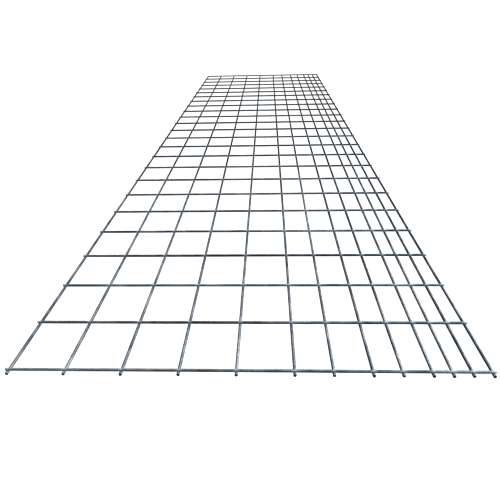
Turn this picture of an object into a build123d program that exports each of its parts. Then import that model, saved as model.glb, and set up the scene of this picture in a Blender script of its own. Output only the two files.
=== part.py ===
"""Welded wire cattle panel, 16 ft long, lying flat with its stay wires on top.

Thirteen long line wires run the length of the panel. Twenty-five shorter stay
wires cross over them and are welded to every one, 325 welds in all. The meshes
are 6 in wide at one long edge and close up to 2 in at the other, which is the
edge that stands at the bottom of a fence.

Frame: +Y runs along the panel away from the viewer, +X across it from the wide
meshes to the narrow ones, +Z up. The origin is under the middle of the panel,
on the level that the line wires lie on. Millimetres.
"""

from build123d import *
import os

os.makedirs("parts", exist_ok=True)

# ---------------------------------------------------------------- dimensions
INCH = 25.4

wire_dia = 0.3125 * INCH  # drawn, galvanised rod
bar_sides = 8  # each wire is an eight-sided bar with the wire's width across its flats

# gaps between the line wires, from the wide-mesh edge to the narrow-mesh edge
line_gaps = [6 * INCH] * 5 + [4 * INCH] * 2 + [3 * INCH] * 2 + [2 * INCH] * 3
stay_pitch = 8 * INCH  # centre to centre of the stays
stay_count = 25  # 24 spaces of 8 in are the nominal 16 ft

line_stub = 11.5  # line wire beyond the centre of the last stay
stay_stub = 6.0  # stay beyond the centre of the outer line wire
weld_set_down = 1.5  # how far the two wires are pressed into each other at a weld
end_bevel = 0.6  # rolled edge that the shear leaves on a cut end

# ------------------------------------------------------------- derived sizes
panel_height = sum(line_gaps)  # between the outer line wires
panel_length = stay_pitch * (stay_count - 1)  # between the outer stays
line_length = panel_length + 2 * line_stub
stay_length = panel_height + 2 * stay_stub

line_z = wire_dia / 2  # axes of the line wires, which lie on the ground
stay_z = line_z + wire_dia - weld_set_down  # axes of the stays

line_x = [-panel_height / 2]
for gap in line_gaps:
    line_x.append(line_x[-1] + gap)
stay_y = [-panel_length / 2 + n * stay_pitch for n in range(stay_count)]


# ---------------------------------------------------------------- line wires
for number, x in enumerate(line_x, start=1):
    with BuildPart() as line_wire:
        with BuildSketch(Plane.XZ) as section:
            with Locations((x, line_z)):
                RegularPolygon(
                    radius=wire_dia / 2,
                    side_count=bar_sides,
                    major_radius=False,
                    rotation=180 / bar_sides,
                )
        extrude(amount=line_length / 2, both=True)
        cut_ends = line_wire.faces().filter_by(Axis.Y).sort_by(Axis.Y)
        chamfer(cut_ends[0].edges() + cut_ends[-1].edges(), length=end_bevel)
    name = f"line_wire_{number:02d}"
    line_wire.part.label = name
    export_step(line_wire.part, f"parts/{name}.step")


# ---------------------------------------------------------------- stay wires
# Each stay is saddled where it crosses a line wire, so the two meet face to
# face in the weld and neither runs into the other.
for number, y in enumerate(stay_y, start=1):
    with BuildPart() as stay_wire:
        with BuildSketch(Plane.YZ) as section:
            with Locations((y, stay_z)):
                RegularPolygon(
                    radius=wire_dia / 2,
                    side_count=bar_sides,
                    major_radius=False,
                    rotation=180 / bar_sides,
                )
        extrude(amount=stay_length / 2, both=True)
        cut_ends = stay_wire.faces().filter_by(Axis.X).sort_by(Axis.X)
        chamfer(cut_ends[0].edges() + cut_ends[-1].edges(), length=end_bevel)
        with BuildSketch(Plane.XZ.offset(-y)) as saddles:
            with Locations(*[(x, line_z) for x in line_x]):
                RegularPolygon(
                    radius=wire_dia / 2,
                    side_count=bar_sides,
                    major_radius=False,
                    rotation=180 / bar_sides,
                )
        extrude(amount=wire_dia, both=True, mode=Mode.SUBTRACT)
    name = f"stay_wire_{number:02d}"
    stay_wire.part.label = name
    export_step(stay_wire.part, f"parts/{name}.step")


# ---------------------------------------------------------------------- facts
metres = (len(line_x) * line_length + stay_count * stay_length) / 1000
print("line wires", len(line_x), "of", round(line_length, 1), "at x", [round(v, 1) for v in line_x])
print("stays", stay_count, "of", round(stay_length, 1), "welds", len(line_x) * stay_count)
print("wire in all, m", round(metres, 2))
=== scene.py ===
import math

import bpy
import numpy as np
from mathutils import Matrix, Vector


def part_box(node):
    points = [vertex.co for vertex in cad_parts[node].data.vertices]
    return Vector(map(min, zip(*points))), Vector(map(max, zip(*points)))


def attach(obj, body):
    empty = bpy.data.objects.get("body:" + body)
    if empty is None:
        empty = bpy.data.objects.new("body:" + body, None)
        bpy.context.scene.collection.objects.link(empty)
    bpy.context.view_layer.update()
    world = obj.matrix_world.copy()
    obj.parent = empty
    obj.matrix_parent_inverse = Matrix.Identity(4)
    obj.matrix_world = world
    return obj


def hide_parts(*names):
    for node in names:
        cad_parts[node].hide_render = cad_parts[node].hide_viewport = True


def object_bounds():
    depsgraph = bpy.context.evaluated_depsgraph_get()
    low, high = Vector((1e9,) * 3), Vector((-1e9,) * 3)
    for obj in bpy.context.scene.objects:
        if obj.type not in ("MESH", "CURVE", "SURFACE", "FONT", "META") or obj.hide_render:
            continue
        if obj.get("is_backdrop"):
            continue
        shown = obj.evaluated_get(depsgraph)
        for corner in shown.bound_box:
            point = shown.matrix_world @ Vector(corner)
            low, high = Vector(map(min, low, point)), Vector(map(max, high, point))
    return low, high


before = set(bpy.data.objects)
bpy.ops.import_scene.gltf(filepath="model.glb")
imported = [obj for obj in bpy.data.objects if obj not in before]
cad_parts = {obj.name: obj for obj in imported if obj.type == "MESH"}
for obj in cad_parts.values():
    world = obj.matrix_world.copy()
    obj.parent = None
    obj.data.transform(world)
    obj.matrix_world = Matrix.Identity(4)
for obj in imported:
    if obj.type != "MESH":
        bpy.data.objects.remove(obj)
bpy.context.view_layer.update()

# A welded wire panel lying flat. The long line wires run along Y on the floor,
# and the stays run along X on top of them, welded at every crossing.
# Metres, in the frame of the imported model.

MM = 0.001
LINES = sorted(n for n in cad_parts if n.startswith("line_wire_"))
STAYS = sorted(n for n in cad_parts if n.startswith("stay_wire_"))
# how bright each line wire's zinc has stayed, about 0 dull to 1 bright, at its near end
LINE_TONES = (0.30, 0.62, 0.45, 0.25, 0.62, 0.30, 0.74, 0.20, 0.05, 0.40, 0.48, -0.20, -0.15)

SIDES = 20  # corners of a wire's round section
RADIUS = 3.92 * MM  # of the drawn wire, within the 7.94 mm that its bar allows
FINE, REACH = 1.4 * MM, 7.0 * MM  # rings close together this far either side of a weld
LINE_STEP, STAY_STEP = 12.0 * MM, 10.0 * MM  # rings between welds
WANDER = 0.35 * MM  # how far a wire strays sideways from its straight line
LIFT = 0.25 * MM  # how far it bows between two welds, away from the box's faces
ELECTRODE = 0.36 * MM  # depth of the flat that the welding electrode leaves
COLLAR_WIDE = 2.3 * MM  # how far a weld's fillet reaches up each wire
COLLAR_TURNS, COLLAR_ROWS = 28, 6


# ---------------------------------------------------------------- small helpers
def smooth(x):
    x = np.clip(x, 0.0, 1.0)
    return x * x * (3 - 2 * x)


def wandering(rng, amount):
    """A smooth sideways wandering of at most that amount, as a function of the distance along."""
    terms = [
        (rng.uniform(0.3, 1.0), rng.uniform(0.16, 1.7), rng.uniform(0, 2 * math.pi))
        for _ in range(6)
    ]
    total = sum(a for a, _, _ in terms)
    return lambda s: sum(a * np.sin(2 * math.pi * s / l + p) for a, l, p in terms) * amount / total


def rings_along(start, end, marks, step):
    """Distances of the rings: dense at each weld, wide apart between them."""
    places = {start, end}
    fine = np.arange(-REACH, REACH + FINE / 2, FINE)
    held = []
    for m in marks:
        held.extend(m + fine)
    held = sorted(s for s in held if start + 2 * MM < s < end - 2 * MM)
    places.update(held)
    points = sorted(places)
    out = [points[0]]
    for a, b in zip(points, points[1:]):
        n = max(1, int(round((b - a) / step)))
        out.extend(a + (b - a) * k / n for k in range(1, n + 1))
    return np.array(out)


def bays(s, marks, rng, amount):
    """Rises from 0 at each weld to a random share of amount half way to the next."""
    marks = np.array(marks)
    k = np.clip(np.searchsorted(marks, s) - 1, 0, len(marks) - 2)
    t = np.clip((s - marks[k]) / (marks[k + 1] - marks[k]), 0, 1)
    height = rng.uniform(0.1, 1.0, len(marks) - 1) * amount
    return height[k] * np.sin(math.pi * t) ** 2


def line_painted_far_shade(y):
    """How much darker a line wire's zinc is painted there than at its near end: painted shade for the dimmer far rows.
    """
    return 0.20 * smooth((y + 2.45) / 0.35) + 0.60 * smooth((y + 2.2) / 4.2)


def stay_painted_far_shade(y):
    """How much darker a stay is painted than one at the near end: painted shade for the dimmer far rows."""
    return 0.80 * (1 - math.exp(-max(y + 2.3, 0.0) / 0.6))


# ---------------------------------------------------------------- what crosses what
line_at, stay_at = {}, {}
for name in LINES:
    low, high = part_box(name)
    line_at[name] = ((low.x + high.x) / 2, (low.z + high.z) / 2, low.y, high.y)
for name in STAYS:
    low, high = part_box(name)
    stay_at[name] = ((low.y + high.y) / 2, (low.z + high.z) / 2, low.x, high.x)

drifts = {}
for k, name in enumerate(LINES):
    drifts[name] = wandering(np.random.default_rng(100 + k), WANDER)
for k, name in enumerate(STAYS):
    drifts[name] = wandering(np.random.default_rng(300 + k), WANDER)


# ---------------------------------------------------------------- meshes
class Piece:
    """Vertices, faces and what the materials read, gathered before they become one mesh."""

    def __init__(self):
        self.co, self.faces, self.mats, self.uv = [], [], [], []
        self.along, self.weld, self.tip, self.tone = [], [], [], []
        self.count = 0

    def add(self, co, faces, mats, uv, along, weld, tip, tone):
        self.co.append(co)
        self.faces.extend([tuple(i + self.count for i in f) for f in faces])
        self.mats.extend(mats)
        self.uv.extend(uv)
        for kept, new in (
            (self.along, along),
            (self.weld, weld),
            (self.tip, tip),
            (self.tone, tone),
        ):
            kept.append(new)
        self.count += len(co)

    def build(self, name, materials):
        co = np.concatenate(self.co).astype(np.float32)
        sizes = np.array([len(f) for f in self.faces], np.int32)
        loops = np.concatenate([np.array(f, np.int32) for f in self.faces])
        starts = np.concatenate([[0], np.cumsum(sizes)[:-1]]).astype(np.int32)
        me = bpy.data.meshes.new(name)
        me.vertices.add(len(co))
        me.vertices.foreach_set("co", co.ravel())
        me.loops.add(len(loops))
        me.loops.foreach_set("vertex_index", loops)
        me.polygons.add(len(sizes))
        me.polygons.foreach_set("loop_start", starts)
        me.polygons.foreach_set("loop_total", sizes)
        me.polygons.foreach_set("material_index", np.array(self.mats, np.int32))
        me.update(calc_edges=True)
        me.validate()
        me.polygons.foreach_set("use_smooth", np.ones(len(sizes), bool))
        uv = me.uv_layers.new(name="OFBake")
        uv.uv.foreach_set("vector", np.concatenate(self.uv).astype(np.float32).ravel())
        for title, values, kind in (
            ("wire_place", self.along, "FLOAT_VECTOR"),
            ("weld_near", self.weld, "FLOAT"),
            ("tip_near", self.tip, "FLOAT"),
            ("wire_tone", self.tone, "FLOAT"),
        ):
            layer = me.attributes.new(title, kind, "POINT")
            layer.data.foreach_set(
                "vector" if kind == "FLOAT_VECTOR" else "value",
                np.concatenate(values).astype(np.float32).ravel(),
            )
        for m in materials:
            me.materials.append(m)
        ob = bpy.data.objects.new(name, me)
        bpy.context.scene.collection.objects.link(ob)
        return ob


def wire(piece, rng, start, end, marks, step, place, under, rows, tone, seed):
    """A round wire as a closed tube with sheared ends. place(s, across, up) turns a distance along the wire
    and two distances across it into points; under is -1 where the electrode pressed on its underside, 1 on its top;
    tone(s) is how bright its zinc is there."""
    s = rings_along(start, end, marks, step)
    s = s[(s > start + 1.9 * MM) & (s < end - 1.9 * MM)]
    s = np.concatenate([[start + 1.5 * MM], s, [end - 1.5 * MM]])
    turn = 2 * math.pi * np.arange(SIDES) / SIDES - math.pi / 2  # from the underside
    ct, st = np.cos(turn), np.sin(turn)
    near = np.abs(s[:, None] - np.array(marks)[None]).min(1)
    flat = smooth(1.35 - near / (5.0 * MM))
    depth = ELECTRODE * rng.uniform(0.6, 1.0, len(marks))
    depth = depth[np.abs(s[:, None] - np.array(marks)[None]).argmin(1)] * flat
    # an uneven coat: thicker and thinner along and round the wire
    p = rng.uniform(0, 2 * math.pi, 6)
    w = rng.uniform(0.7, 1.4, 3)
    coat = (
        0.45 * np.sin(2 * math.pi * s[:, None] / (0.061 * w[0]) + 2 * turn[None] + p[0])
        + 0.35 * np.sin(2 * math.pi * s[:, None] / (0.023 * w[1]) - turn[None] + p[1])
        + 0.20 * np.sin(2 * math.pi * s[:, None] / (0.143 * w[2]) + 3 * turn[None] + p[2])
    )
    r = RADIUS - 0.03 * MM + 0.035 * MM * coat
    across = r * ct[None]
    up = r * st[None]
    if under < 0:
        up = np.maximum(up, -(RADIUS - depth[:, None]))
    else:
        up = np.minimum(up, RADIUS - depth[:, None])
    across = across * (1 + 0.25 * depth[:, None] / RADIUS)
    body = place(np.repeat(s, SIDES), across.ravel(), up.ravel())
    n = len(s)
    weld = np.repeat(np.exp(-((near / (7.5 * MM)) ** 2)), SIDES)
    weld *= 0.55 + 0.45 * np.clip(-under * np.tile(st, n) + 0.6, 0, 1)  # strongest where the wires meet
    tip_gap = np.minimum(s - start, end - s)
    tip = np.repeat(np.exp(-tip_gap / (5.0 * MM)), SIDES)
    along = np.stack(
        [across.ravel() + 0.5 * seed, up.ravel() - 0.31 * seed, np.repeat(s, SIDES) + 7.3 * seed], 1
    )
    # quads, laid out on the map in rows of equal length
    cells = rows + 1
    row_of = np.minimum(((s[:-1] + s[1:]) / 2 - start) / (end - start) * rows, rows - 1e-6).astype(int)
    first = {q: s[np.argmax(row_of == q)] for q in np.unique(row_of)}
    longest = max(s[np.nonzero(row_of == q)[0].max() + 1] - first[q] for q in first)
    faces, uv = [], []
    for k in range(n - 1):
        q = row_of[k]
        u0 = 0.004 + 0.992 * (s[k] - first[q]) / longest
        u1 = 0.004 + 0.992 * (s[k + 1] - first[q]) / longest
        for j in range(SIDES):
            i = (j + 1) % SIDES
            faces.append((k * SIDES + j, k * SIDES + i, (k + 1) * SIDES + i, (k + 1) * SIDES + j))
            v0 = (q + 0.04 + 0.92 * j / SIDES) / cells
            v1 = (q + 0.04 + 0.92 * (j + 1) / SIDES) / cells
            uv.append(((u0, v0), (u0, v1), (u1, v1), (u1, v0)))
    piece.add(
        body,
        faces,
        [0] * len(faces),
        [np.array(x) for x in uv],
        along,
        weld,
        tip,
        np.repeat(tone(s), SIDES),
    )
    # sheared ends: rolled on one side, a thin burr on the other, a rough face
    base = piece.count - len(body)
    for at_end in (0, 1):
        out = 1 if at_end else -1
        limit = end if at_end else start
        lean, slope = rng.uniform(0, 2 * math.pi), math.tan(math.radians(rng.uniform(4, 13)))
        roll = rng.uniform(0.25, 0.6) * MM
        # radius share, distance back from the cut
        profile = [(1.0, 0.95 * MM), (0.995, 0.6 * MM), (0.975, 0.3 * MM), (0.93, 0.10 * MM)]
        face = [(0.86, 0.0), (0.62, 0.02 * MM), (0.36, -0.01 * MM), (0.14, 0.03 * MM)]
        ring_co, ring_al = [], []
        low_side = 0.5 - 0.5 * np.cos(turn - lean)  # 1 on the side the blade left last
        for share, back in profile + face:
            rr = RADIUS * share * (1 - 0.03 * low_side * (share > 0.9))
            lean_back = slope * RADIUS * share * (1 - np.cos(turn - lean) * 1.0) * 0.5
            rough = rng.uniform(-0.035, 0.035, SIDES) * MM * (share < 0.9)
            rolled = roll * low_side * (0.2 < share) * smooth(np.array((share - 0.6) / 0.4))
            burr = 0.22 * MM * np.exp(-(((turn - lean + math.pi) % (2 * math.pi) - math.pi) / 0.7) ** 2) * (
                0.9 < share < 0.99
            )
            d = np.maximum(back + lean_back + rough + rolled - burr + 0.06 * MM, 0.0)
            ring_co.append(place(limit - out * d, rr * ct, rr * st))
            ring_al.append(
                np.stack([rr * ct + 0.5 * seed, rr * st - 0.31 * seed, limit - out * d + 7.3 * seed], 1)
            )
        mid = place(np.array([limit - out * (0.5 * slope * RADIUS + 0.08 * MM)]), np.zeros(1), np.zeros(1))
        ring_co.append(mid)
        ring_al.append(np.array([[0.5 * seed, -0.31 * seed, limit + 7.3 * seed]]))
        co = np.concatenate(ring_co)
        faces, mats, uvs = [], [], []
        rings = len(profile) + len(face)
        edge = base + ((n - 1) * SIDES if at_end else 0) - piece.count  # relative to this block
        levels = [edge] + [SIDES * m for m in range(rings)]
        # a square of the map's last row, in rings round its middle
        if rows > 10:
            cx, half = (0.06 + 0.08 * at_end), 0.028
        else:
            cx, half = (0.035 + 0.93 * at_end), 0.028
        cy = (rows + 0.5) / cells
        half_y = min(half, 0.46 / cells)
        spans = [1.0] + [1 - 0.93 * (m + 1) / (rings + 0.2) for m in range(rings)]
        for m in range(rings):
            a, b = levels[m], levels[m + 1]
            ra, rb = spans[m], spans[m + 1]
            for j in range(SIDES):
                i = (j + 1) % SIDES
                ta, tb = turn[j], turn[j] + 2 * math.pi / SIDES
                quad = [(a + j, ra, ta), (a + i, ra, tb), (b + i, rb, tb), (b + j, rb, ta)]
                if not at_end:
                    quad = quad[::-1]
                faces.append(tuple(x[0] for x in quad))
                mats.append(0 if m < len(profile) else 1)
                uvs.append(
                    np.array([(cx + half * q * math.cos(t), cy + half_y * q * math.sin(t)) for _, q, t in quad])
                )
        last, middle = levels[-1], rings * SIDES
        for j in range(SIDES):
            i = (j + 1) % SIDES
            ta, tb = turn[j], turn[j] + 2 * math.pi / SIDES
            q = spans[-1]
            tri = [(last + j, q, ta), (last + i, q, tb), (middle, 0.0, ta)]
            if not at_end:
                tri = tri[::-1]
            faces.append(tuple(x[0] for x in tri))
            mats.append(1)
            uvs.append(np.array([(cx + half * q * math.cos(t), cy + half_y * q * math.sin(t)) for _, q, t in tri]))
        piece.add(
            co,
            faces,
            mats,
            uvs,
            np.concatenate(ring_al),
            np.zeros(len(co)),
            np.ones(len(co)),
            np.full(len(co), tone(np.array([limit]))[0]),
        )
    return s


def collar(piece, rng, x0, y0, z_low, z_high, ends, tone, seed, cell, cells, rows):
    """The zinc-filled fillet where a stay is pressed into a line wire: a closed ring whose two rims sink
    into the wires, so that nothing but its hollow flank shows."""
    d = z_high - z_low
    r = RADIUS
    a = 2 * math.pi * np.arange(COLLAR_TURNS) / COLLAR_TURNS
    c2 = np.cos(2 * a)
    qa, qb, qc = c2**2 / (4 * d * d), 0.5, d * d / 4 - r * r
    q = np.where(
        qa * r * r > 1e-4,
        (-qb + np.sqrt(np.maximum(qb * qb - 4 * qa * qc, 0))) / (2 * np.maximum(qa, 1e-12)),
        -qc / qb,
    )
    rho = np.sqrt(q)
    x, y = rho * np.cos(a), rho * np.sin(a)
    z = (z_low + z_high) / 2 - (x * x - y * y) / (2 * d)
    p = np.stack([x, y, z], 1)
    n1 = np.stack([x, 0 * x, z - z_low], 1) / r
    n2 = np.stack([0 * y, y, z - z_high], 1) / r
    dot = (n1 * n2).sum(1, keepdims=True)
    t1, t2 = n2 - dot * n1, n1 - dot * n2
    t1 /= np.linalg.norm(t1, axis=1, keepdims=True)
    t2 /= np.linalg.norm(t2, axis=1, keepdims=True)
    b = n1 + n2
    b /= np.linalg.norm(b, axis=1, keepdims=True)
    ph = rng.uniform(0, 2 * math.pi, 5)
    uneven = (
        0.5 * np.sin(a + ph[0]) + 0.4 * np.sin(2 * a + ph[1]) + 0.35 * np.sin(3 * a + ph[2]) + 0.25 * np.sin(5 * a + ph[3])
    )
    size = rng.uniform(0.85, 1.12)
    wide = (COLLAR_WIDE * size * (1 + 0.22 * uneven))[:, None]
    wide2 = (COLLAR_WIDE * size * (1 - 0.18 * np.sin(2 * a + ph[4])))[:, None]
    low = p + wide * t1
    high = p + wide2 * t2
    full = (0.16 + 0.14 * np.sin(2 * a + ph[4]) ** 2)[:, None]
    knee = p + full * COLLAR_WIDE * b
    rim = r - 0.07 * MM
    k = rim / np.hypot(low[:, 0], low[:, 2] - z_low)
    low = np.stack([low[:, 0] * k, low[:, 1], (low[:, 2] - z_low) * k + z_low], 1)
    k = rim / np.hypot(high[:, 1], high[:, 2] - z_high)
    high = np.stack([high[:, 0], high[:, 1] * k, (high[:, 2] - z_high) * k + z_high], 1)
    rows_co = []
    for m in range(COLLAR_ROWS + 1):
        t = m / COLLAR_ROWS
        ring = (1 - t) ** 2 * low + 2 * t * (1 - t) * knee + t * t * high
        lump = 0.05 * MM * math.sin(math.pi * t) * np.sin(4 * a + ph[2] + 3 * t)
        rows_co.append(ring + lump[:, None] * b)
    co = np.concatenate(rows_co + [np.array([[0, 0, z_low], [0, 0, z_high]])])
    co[:, 0] = np.clip(co[:, 0], ends[0] - x0, ends[1] - x0)
    n, m_rows = COLLAR_TURNS, COLLAR_ROWS
    faces, uvs = [], []
    x_lo, x_hi = (cell + 0.06) / cells, (cell + 0.94) / cells
    y_lo, y_hi = (rows + 0.05) / (rows + 1), (rows + 0.95) / (rows + 1)

    def at(j, v):
        return (x_lo + (x_hi - x_lo) * j / n, y_lo + (y_hi - y_lo) * v)

    for m in range(m_rows):
        v0, v1 = 0.12 + 0.76 * m / m_rows, 0.12 + 0.76 * (m + 1) / m_rows
        for j in range(n):
            i = (j + 1) % n
            faces.append((m * n + j, m * n + i, (m + 1) * n + i, (m + 1) * n + j))
            uvs.append(np.array([at(j, v0), at(j + 1, v0), at(j + 1, v1), at(j, v1)]))
    low_mid, high_mid = (m_rows + 1) * n, (m_rows + 1) * n + 1
    for j in range(n):
        i = (j + 1) % n
        faces.append((i, j, low_mid))
        uvs.append(np.array([at(j + 1, 0.12), at(j, 0.12), at(j + 0.5, 0.0)]))
        faces.append((m_rows * n + j, m_rows * n + i, high_mid))
        uvs.append(np.array([at(j, 0.88), at(j + 1, 0.88), at(j + 0.5, 1.0)]))
    along = co + np.array([0.5 * seed, 0.7 * seed, 0.9 * seed])
    count = len(co)
    piece.add(
        co + np.array([x0, y0, 0]),
        faces,
        [0] * len(faces),
        uvs,
        along,
        np.full(count, 1.15),
        np.zeros(count),
        np.full(count, tone),
    )


# ---------------------------------------------------------------- materials
class Nodes:
    def __init__(self, name):
        self.material = bpy.data.materials.new(name)
        self.material.use_nodes = True
        self.tree = self.material.node_tree
        self.tree.nodes.clear()

    def new(self, kind, **inputs):
        node = self.tree.nodes.new(kind)
        for key, value in inputs.items():
            if key.startswith("_"):
                setattr(node, key[1:], value)
        return node

    def put(self, node, socket, value):
        if isinstance(value, bpy.types.NodeSocket):
            self.tree.links.new(value, node.inputs[socket])
        else:
            node.inputs[socket].default_value = value

    def attribute(self, name):
        node = self.new("ShaderNodeAttribute", _attribute_name=name, _attribute_type="GEOMETRY")
        return node

    def math(self, operation, a, b=0.0, c=0.0, clamp=False):
        node = self.new("ShaderNodeMath", _operation=operation, _use_clamp=clamp)
        for k, v in enumerate((a, b, c)):
            if k < len(node.inputs):
                self.put(node, k, v)
        return node.outputs[0]

    def scaled(self, vector, by):
        node = self.new("ShaderNodeVectorMath", _operation="MULTIPLY")
        self.put(node, 0, vector)
        self.put(node, 1, by)
        return node.outputs[0]

    def noise(self, vector, scale, detail=3.0, rough=0.5, warp=0.0):
        node = self.new("ShaderNodeTexNoise", _noise_dimensions="3D")
        self.put(node, "Vector", vector)
        self.put(node, "Scale", scale)
        self.put(node, "Detail", detail)
        self.put(node, "Roughness", rough)
        self.put(node, "Distortion", warp)
        return node.outputs[0]

    def ramp(self, value, stops):
        node = self.new("ShaderNodeValToRGB")
        self.put(node, "Fac", value)
        element = node.color_ramp.elements
        while len(element) < len(stops):
            element.new(0.5)
        for e, (at, colour) in zip(element, stops):
            e.position = at
            e.color = (*colour, 1) if len(colour) == 3 else colour
        return node.outputs["Color"]

    def grey(self, value, low, high, to_low=0.0, to_high=1.0):
        node = self.new("ShaderNodeMapRange", _clamp=True)
        for k, v in (("Value", value), ("From Min", low), ("From Max", high), ("To Min", to_low), ("To Max", to_high)):
            self.put(node, k, v)
        return node.outputs["Result"]

    def mix(self, factor, a, b, blend="MIX"):
        node = self.new("ShaderNodeMix", _data_type="RGBA", _blend_type=blend)
        self.put(node, 0, factor)
        self.put(node, 6, a)
        self.put(node, 7, b)
        return node.outputs[2]


def zinc_material():
    """Drawn wire under an aged zinc coat: blue-grey, streaked along the wire, clouded where it has dulled, paler and
    chalky round the welds, pale at the stubs (chalky zinc and a painted highlight), darker towards the far end
    (painted shade) and dark on the rims of the cut ends."""
    n = Nodes("galvanised_wire")
    place = n.attribute("wire_place").outputs["Vector"]
    weld = n.attribute("weld_near").outputs["Fac"]
    tip = n.attribute("tip_near").outputs["Fac"]
    tone = n.attribute("wire_tone").outputs["Fac"]
    cloud = n.noise(n.scaled(place, (60, 60, 14)), 1.0, 4.0, 0.6, 0.4)
    large = n.noise(n.scaled(place, (12, 12, 2.2)), 1.0, 2.0, 0.5)
    streak = n.noise(n.scaled(place, (2600, 2600, 22)), 1.0, 3.0, 0.6)
    speck = n.noise(n.scaled(place, (900, 900, 500)), 1.0, 2.0, 0.5)
    cells = n.new("ShaderNodeTexVoronoi", _feature="F1", _voronoi_dimensions="3D")
    n.put(cells, "Vector", n.scaled(place, (420, 420, 260)))
    n.put(cells, "Scale", 1.0)
    spangle = n.new("ShaderNodeSeparateColor")
    n.put(spangle, 0, cells.outputs["Color"])
    spangle = spangle.outputs[0]

    mixed = n.math("ADD", n.math("MULTIPLY", cloud, 0.62), n.math("MULTIPLY", large, 0.38))
    mixed = n.math("ADD", mixed, n.math("MULTIPLY", n.math("SUBTRACT", spangle, 0.5), 0.10))
    # the wire's tone takes in the painted shade that darkens the far end
    mixed = n.math("ADD", mixed, n.math("MULTIPLY", n.math("SUBTRACT", tone, 0.5), 0.16))
    coat = n.ramp(
        mixed,
        [
            (0.20, (0.150, 0.175, 0.205)),
            (0.34, (0.215, 0.250, 0.290)),
            (0.46, (0.360, 0.405, 0.450)),
            (0.55, (0.470, 0.515, 0.555)),
            (0.67, (0.640, 0.670, 0.700)),
        ],
    )
    lines = n.grey(streak, 0.32, 0.68, 0.84, 1.10)
    tint = n.new("ShaderNodeVectorMath", _operation="SCALE")
    n.put(tint, 0, coat)
    n.put(tint, "Scale", lines)
    coat = tint.outputs[0]
    # pale, dull bloom round a weld, with a little dark smut in the crevice
    ring = n.math("MULTIPLY", n.grey(weld, 0.10, 0.80), n.grey(speck, 0.25, 0.65, 0.55, 1.0))
    coat = n.mix(n.math("MULTIPLY", ring, 0.85), coat, (0.770, 0.860, 0.930, 1))
    smut = n.math("MULTIPLY", n.grey(weld, 1.05, 1.15), n.grey(cloud, 0.50, 0.62, 0.0, 0.20))
    coat = n.mix(smut, coat, (0.180, 0.180, 0.185, 1))
    # stray dark specks, a lighter stub that is part chalky zinc and part painted highlight, and a darker last
    # millimetre
    grit = n.math("MULTIPLY", n.grey(speck, 0.66, 0.74), 0.25)
    coat = n.mix(grit, coat, (0.110, 0.105, 0.100, 1))
    pale_stub_chalk_and_highlight = n.math("MULTIPLY", n.grey(tip, 0.30, 0.60), n.grey(tip, 0.97, 0.86))
    coat = n.mix(n.math("MULTIPLY", pale_stub_chalk_and_highlight, 0.80), coat, (0.840, 0.880, 0.910, 1))
    end = n.math("MULTIPLY", n.grey(tip, 0.88, 1.0), n.grey(speck, 0.3, 0.7, 0.35, 0.80))
    coat = n.mix(end, coat, (0.125, 0.125, 0.130, 1))

    rough = n.grey(cloud, 0.30, 0.70, 0.20, 0.34)
    rough = n.math("ADD", rough, n.math("MULTIPLY", n.math("SUBTRACT", streak, 0.5), 0.16))
    dull = n.math("MAXIMUM", n.grey(weld, 0.15, 0.8), n.grey(tip, 0.15, 0.45))
    rough = n.math("ADD", rough, n.math("MULTIPLY", dull, 0.22), clamp=True)

    relief = n.math("ADD", n.math("MULTIPLY", streak, 0.55), n.math("MULTIPLY", spangle, 0.12))
    relief = n.math("ADD", relief, n.math("MULTIPLY", speck, 0.22))
    bump = n.new("ShaderNodeBump")
    n.put(bump, "Strength", 0.35)
    n.put(bump, "Distance", 0.00010)
    n.put(bump, "Height", relief)

    shader = n.new("ShaderNodeBsdfPrincipled")
    n.put(shader, "Base Color", coat)
    n.put(shader, "Metallic", 1.0)
    n.put(shader, "Roughness", rough)
    n.put(shader, "Normal", bump.outputs[0])
    out = n.new("ShaderNodeOutputMaterial")
    n.put(out, "Surface", shader.outputs[0])
    return n.material


def cut_material():
    """Bare steel at a sheared end, gone dark, with a touch of rust."""
    n = Nodes("sheared_steel")
    place = n.attribute("wire_place").outputs["Vector"]
    fine = n.noise(n.scaled(place, (1500, 1500, 700)), 1.0, 4.0, 0.6)
    drag = n.noise(n.scaled(place, (420, 3200, 400)), 1.0, 2.0, 0.5)
    colour = n.ramp(
        fine,
        [
            (0.34, (0.115, 0.115, 0.122)),
            (0.48, (0.235, 0.236, 0.245)),
            (0.60, (0.370, 0.340, 0.310)),
            (0.74, (0.560, 0.555, 0.550)),
        ],
    )
    bump = n.new("ShaderNodeBump")
    n.put(bump, "Strength", 0.6)
    n.put(bump, "Distance", 0.00012)
    n.put(bump, "Height", n.math("ADD", n.math("MULTIPLY", drag, 0.6), n.math("MULTIPLY", fine, 0.5)))
    shader = n.new("ShaderNodeBsdfPrincipled")
    n.put(shader, "Base Color", colour)
    n.put(shader, "Metallic", 0.5)
    n.put(shader, "Roughness", n.grey(fine, 0.3, 0.7, 0.75, 0.5))
    n.put(shader, "Normal", bump.outputs[0])
    out = n.new("ShaderNodeOutputMaterial")
    n.put(out, "Surface", shader.outputs[0])
    return n.material


ZINC, CUT = zinc_material(), cut_material()

# ---------------------------------------------------------------- the panel
stay_marks = [stay_at[n][0] for n in STAYS]
line_marks = [line_at[n][0] for n in LINES]

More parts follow.
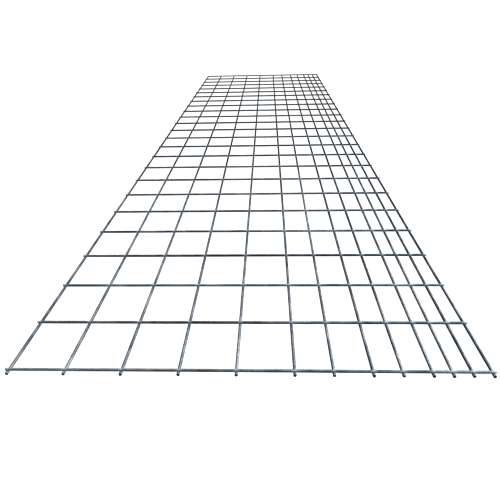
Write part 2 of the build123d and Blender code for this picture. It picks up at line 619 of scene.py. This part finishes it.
for k, name in enumerate(LINES):
    rng = np.random.default_rng(1000 + k)
    x, z, start, end = line_at[name]
    drift = drifts[name]
    bow_rng = np.random.default_rng(1200 + k)
    seed = 0.37 * (k + 1)
    piece = Piece()

    def place(s, across, up, x=x, z=z, drift=drift, k=k):
        lift = bays(s, stay_marks, np.random.default_rng(1200 + k), LIFT)
        return np.stack([x + drift(s) + across, s, z + lift + up], 1)

    # its own tone, less the painted shade that darkens the far end
    def tone(s, k=k):
        return LINE_TONES[k] - line_painted_far_shade(s)

    wire(piece, rng, start, end, stay_marks, LINE_STEP, place, -1, 15, tone, seed)
    # the section's first axis runs the other way round here, so that its faces look outwards
    piece.faces = [f[::-1] for f in piece.faces]
    piece.uv = [u[::-1] for u in piece.uv]
    ob = piece.build(name + "_zinc", [ZINC, CUT])
    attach(ob, "root")
    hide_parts(name)

for k, name in enumerate(STAYS):
    rng = np.random.default_rng(2000 + k)
    y, z, start, end = stay_at[name]
    drift = drifts[name]
    seed = 0.41 * (k + 1) + 20
    piece = Piece()

    def place(s, across, up, y=y, z=z, drift=drift, k=k):
        sink = bays(s, line_marks, np.random.default_rng(2200 + k), LIFT)
        return np.stack([s, y + drift(s) + across, z - sink + up], 1)

    # a random tone, less the painted shade that darkens the far end
    tone = rng.uniform(0, 1) - stay_painted_far_shade(y)
    wire(piece, rng, start, end, line_marks, STAY_STEP, place, 1, 8, lambda s, tone=tone: np.full(len(s), tone), seed)
    for m, line in enumerate(LINES):
        lx, lz = line_at[line][0], line_at[line][1]
        collar(
            piece,
            rng,
            lx + float(drifts[line](np.array(y))),
            y + float(drift(np.array(lx))),
            lz,
            z,
            (start + 1.1 * MM, end - 1.1 * MM),
            tone,
            0.23 * (m + 1) + 0.61 * k + 60,
            m + 1,
            len(LINES) + 2,
            8,
        )
    ob = piece.build(name + "_zinc", [ZINC, CUT])
    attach(ob, "root")
    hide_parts(name)

# ---------------------------------------------------------------- floor, light, camera
scene = bpy.context.scene
scene.view_settings.view_transform = "Raw"
scene.view_settings.look = "None"
scene.cycles.use_denoising = False

floor_mesh = bpy.data.meshes.new("floor")
F = 120.0
floor_mesh.from_pydata([(-F, -F, 0), (F, -F, 0), (F, F, 0), (-F, F, 0)], [], [(0, 1, 2, 3)])
floor = bpy.data.objects.new("floor", floor_mesh)
floor.location = (0, 0, -0.0004)
floor.visible_glossy = False
floor.visible_diffuse = False
scene.collection.objects.link(floor)
floor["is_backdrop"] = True
n = Nodes("floor_pale")
pale = n.new("ShaderNodeBsdfDiffuse")
n.put(pale, "Color", (0.12, 0.12, 0.12, 1))
glow = n.new("ShaderNodeEmission")
n.put(glow, "Color", (1, 1, 1, 1))
n.put(glow, "Strength", 0.98)
both = n.new("ShaderNodeAddShader")
n.put(both, 0, pale.outputs[0])
n.put(both, 1, glow.outputs[0])
out = n.new("ShaderNodeOutputMaterial")
n.put(out, "Surface", both.outputs[0])
floor_mesh.materials.append(n.material)

# Dark cards out of sight, two over the far half and one beyond the far end, for the far wires to mirror.
CARDS = (
    ((0.6, 1.0, 1.7), (2.6, 1.0, 1.7), (2.6, 2.9, 1.7), (0.6, 2.9, 1.7)),
    ((-1.1, -0.5, 0.30), (1.1, -0.5, 0.30), (1.1, 2.5, 0.60), (-1.1, 2.5, 0.60)),
    ((-3.0, 6.0, 0.0), (2.2, 6.0, 0.0), (2.2, 6.0, 1.25), (-3.0, 6.0, 1.25)),
)
n = Nodes("card_dark")
cloth = n.new("ShaderNodeEmission")
n.put(cloth, "Color", (0.10, 0.105, 0.11, 1))
n.put(cloth, "Strength", 1.0)
# thins out to nothing towards the middle of the panel, so that it leaves no step in the light
reach = n.new("ShaderNodeSeparateXYZ")
n.put(reach, 0, n.new("ShaderNodeTexCoord").outputs["Object"])
thick = n.grey(reach.outputs["Y"], -0.5, 0.7)
open_air = n.new("ShaderNodeBsdfTransparent")
veil = n.new("ShaderNodeMixShader")
n.put(veil, 0, thick)
n.put(veil, 1, open_air.outputs[0])
n.put(veil, 2, cloth.outputs[0])
out = n.new("ShaderNodeOutputMaterial")
n.put(out, "Surface", veil.outputs[0])
for k, corners in enumerate(CARDS, start=1):
    card_mesh = bpy.data.meshes.new(f"card_{k}")
    card_mesh.from_pydata(corners, [], [(0, 1, 2, 3)])
    card_mesh.materials.append(n.material)
    card = bpy.data.objects.new(f"card_{k}", card_mesh)
    card.visible_camera = False
    card.visible_diffuse = False
    scene.collection.objects.link(card)
    card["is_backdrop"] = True

# Soft light from all round, in broad banks: strong on the right and beyond the panel, weak on the left and from the
# floor, least from behind the viewer at eye level. Direction, strength, tint.
PLAIN, WARM, COOL, BLUE = (1.0, 1.0, 1.0), (1.07, 1.0, 0.93), (0.93, 1.0, 1.05), (0.80, 1.0, 1.12)
BANKS = (
    ((1, 1, 0), 0.98, WARM),  # right and beyond
    ((1, 1, 0.9), 0.92, PLAIN),
    ((0, 1, 0.9), 1.12, WARM),
    ((1, 0, 0), 0.66, PLAIN),
    ((1, 0, 0.9), 0.42, COOL),
    ((1, -1, 0.9), 0.82, PLAIN),
    ((1, -1, 0), 0.42, PLAIN),
    ((0, 0, 1), 0.56, COOL),  # overhead
    ((0, -1, 0.9), 0.66, WARM),
    ((0, -1, 0), 0.16, WARM),
    ((-1, 1, 0.9), 0.36, PLAIN),  # left
    ((-1, 0, 0.9), 0.36, COOL),
    ((-1, 0, 0), 0.20, COOL),
    ((-1, -1, 0), 0.16, COOL),
    ((-1, -1, 0.9), 0.10, BLUE),
    ((-1, 0, -0.9), 0.34, PLAIN),  # back from the floor
    ((-1, -1, -0.9), 0.36, PLAIN),
    ((-1, 1, -0.9), 0.08, BLUE),
    ((0, -1, -0.9), 0.30, COOL),
    ((0, 0, -1), 0.34, BLUE),
    ((1, 0, -0.9), 0.20, BLUE),
    ((1, -1, -0.9), 0.11, BLUE),
    ((1, 1, -0.9), 0.38, COOL),
)
BREADTH = 6.0
# Darker bands low down. Direction, depth, narrowness.
SHADES = (
    ((0, 1, 0.02), 0.70, 34.0),
    ((0, -1, 0.12), 0.66, 16.0),
    ((-0.73, 0.67, -0.1), 0.40, 30.0),
    ((-0.46, 0.89, 0), -0.90, 28.0),  # and a lighter one between them
)


world = bpy.data.worlds.new("studio")
scene.world = world
world.use_nodes = True
wt = world.node_tree
wt.nodes.clear()


class WorldNodes(Nodes):
    def __init__(self, tree):
        self.tree = tree


w = WorldNodes(wt)
coord = w.new("ShaderNodeTexCoord").outputs["Generated"]
total = None
for towards, strength, tint in BANKS:
    dot = w.new("ShaderNodeVectorMath", _operation="DOT_PRODUCT")
    w.put(dot, 0, coord)
    w.put(dot, 1, Vector(towards).normalized())
    share = w.math("EXPONENT", w.math("MULTIPLY_ADD", dot.outputs["Value"], BREADTH, -BREADTH))
    bank = w.new("ShaderNodeVectorMath", _operation="SCALE")
    w.put(bank, 0, tuple(strength * c for c in tint))
    w.put(bank, "Scale", share)
    if total is None:
        total = bank.outputs[0]
    else:
        both = w.new("ShaderNodeVectorMath", _operation="ADD")
        w.put(both, 0, total)
        w.put(both, 1, bank.outputs[0])
        total = both.outputs[0]
for towards, depth, narrow in SHADES:
    dot = w.new("ShaderNodeVectorMath", _operation="DOT_PRODUCT")
    w.put(dot, 0, coord)
    w.put(dot, 1, Vector(towards).normalized())
    share = w.math("EXPONENT", w.math("MULTIPLY_ADD", dot.outputs["Value"], narrow, -narrow))
    shaded = w.new("ShaderNodeVectorMath", _operation="SCALE")
    w.put(shaded, 0, total)
    w.put(shaded, "Scale", w.math("MULTIPLY_ADD", share, -depth, 1.0))
    total = shaded.outputs[0]
light = w.new("ShaderNodeBackground")
w.put(light, "Color", total)
white = w.new("ShaderNodeBackground")
w.put(white, "Color", (1, 1, 1, 1))
wray = w.new("ShaderNodeLightPath")
wmix = w.new("ShaderNodeMixShader")
w.put(wmix, 0, wray.outputs["Is Camera Ray"])
w.put(wmix, 1, light.outputs[0])
w.put(wmix, 2, white.outputs[0])
wout = w.new("ShaderNodeOutputWorld")
w.put(wout, "Surface", wmix.outputs[0])

# The camera of the photograph, found from the panel's own grid.
camera_data = bpy.data.cameras.new("camera")
camera_data.sensor_fit = "HORIZONTAL"
camera_data.sensor_width = 36.0
camera_data.lens = 469.9 / 500 * 36.0
camera_data.clip_start, camera_data.clip_end = 0.05, 500.0
camera = bpy.data.objects.new("camera", camera_data)
scene.collection.objects.link(camera)
camera.matrix_world = Matrix(
    (
        (0.999273, 0.003763, 0.037931, 0.05785),
        (0.031396, 0.483044, -0.875033, -3.35853),
        (-0.021615, 0.875588, 0.482575, 0.87705),
        (0, 0, 0, 1),
    )
)
scene.camera = camera

low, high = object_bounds()
